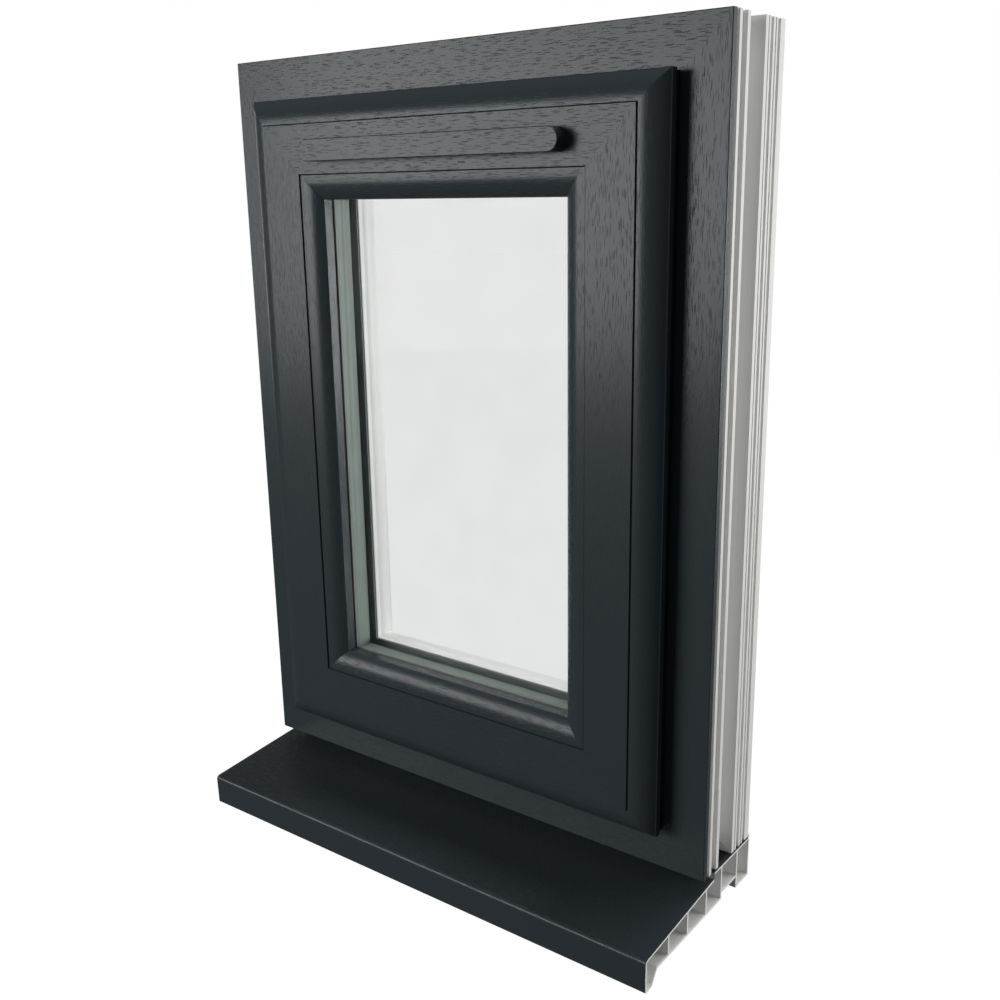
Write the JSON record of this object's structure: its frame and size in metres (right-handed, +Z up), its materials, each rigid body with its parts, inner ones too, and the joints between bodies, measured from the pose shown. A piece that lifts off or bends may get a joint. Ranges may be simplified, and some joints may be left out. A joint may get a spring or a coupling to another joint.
{
  "type": "top-hung window",
  "caption": "Small top-hung casement window with moulded sash, vent canopy, sealed glazing unit and projecting hollow sill.",
  "frame": {"origin": "middle of the sill's flat underside, in the plane of the outer frame's outdoor face", "axes": "+X to the right as seen from outside, +Y into the room, +Z up"},
  "size_m": [0.41, 0.1574, 0.5889],
  "materials": {
    "anthracite_foil": "embossed woodgrain foil on white profile",
    "white_pvc": "smooth extruded",
    "white_hardware": "smooth moulded or powder coated",
    "canopy_plastic": "satin moulded",
    "black_seal": "matt",
    "brown_seal": "matt",
    "grey_seal": "matt",
    "spacer_metal": "satin",
    "clear_glass": "clear float"
  },
  "bodies": {
    "root": {"frame_bottom_rail": "anthracite_foil", "frame_head": "anthracite_foil", "frame_left_jamb": "anthracite_foil", "frame_right_jamb": "anthracite_foil", "glass_inner_pane": "clear_glass", "glass_outer_pane": "clear_glass", "glazing_bead_bottom": "white_pvc", "glazing_bead_left": "white_pvc", "glazing_bead_right": "white_pvc", "glazing_bead_top": "white_pvc", "handle_base": "white_hardware", "handle_lever": "white_hardware", "inner_glazing_seal_bottom": "grey_seal", "inner_glazing_seal_left": "grey_seal", "inner_glazing_seal_right": "grey_seal", "inner_glazing_seal_top": "grey_seal", "outer_glazing_seal_bottom": "brown_seal", "outer_glazing_seal_left": "brown_seal", "outer_glazing_seal_right": "brown_seal", "outer_glazing_seal_top": "brown_seal", "room_seal_bottom": "black_seal", "room_seal_left": "black_seal", "room_seal_right": "black_seal", "room_seal_top": "black_seal", "sash_bottom_rail": "anthracite_foil", "sash_left_stile": "anthracite_foil", "sash_right_stile": "anthracite_foil", "sash_top_rail": "anthracite_foil", "sill": "anthracite_foil", "sill_bedding": "black_seal", "spacer_bar_bottom": "spacer_metal", "spacer_bar_left": "spacer_metal", "spacer_bar_right": "spacer_metal", "spacer_bar_top": "spacer_metal", "vent_canopy": "canopy_plastic", "vent_closer": "white_hardware", "weather_seal_bottom": "black_seal", "weather_seal_left": "black_seal", "weather_seal_right": "black_seal", "weather_seal_top": "black_seal"}
  },
  "joints": []
}
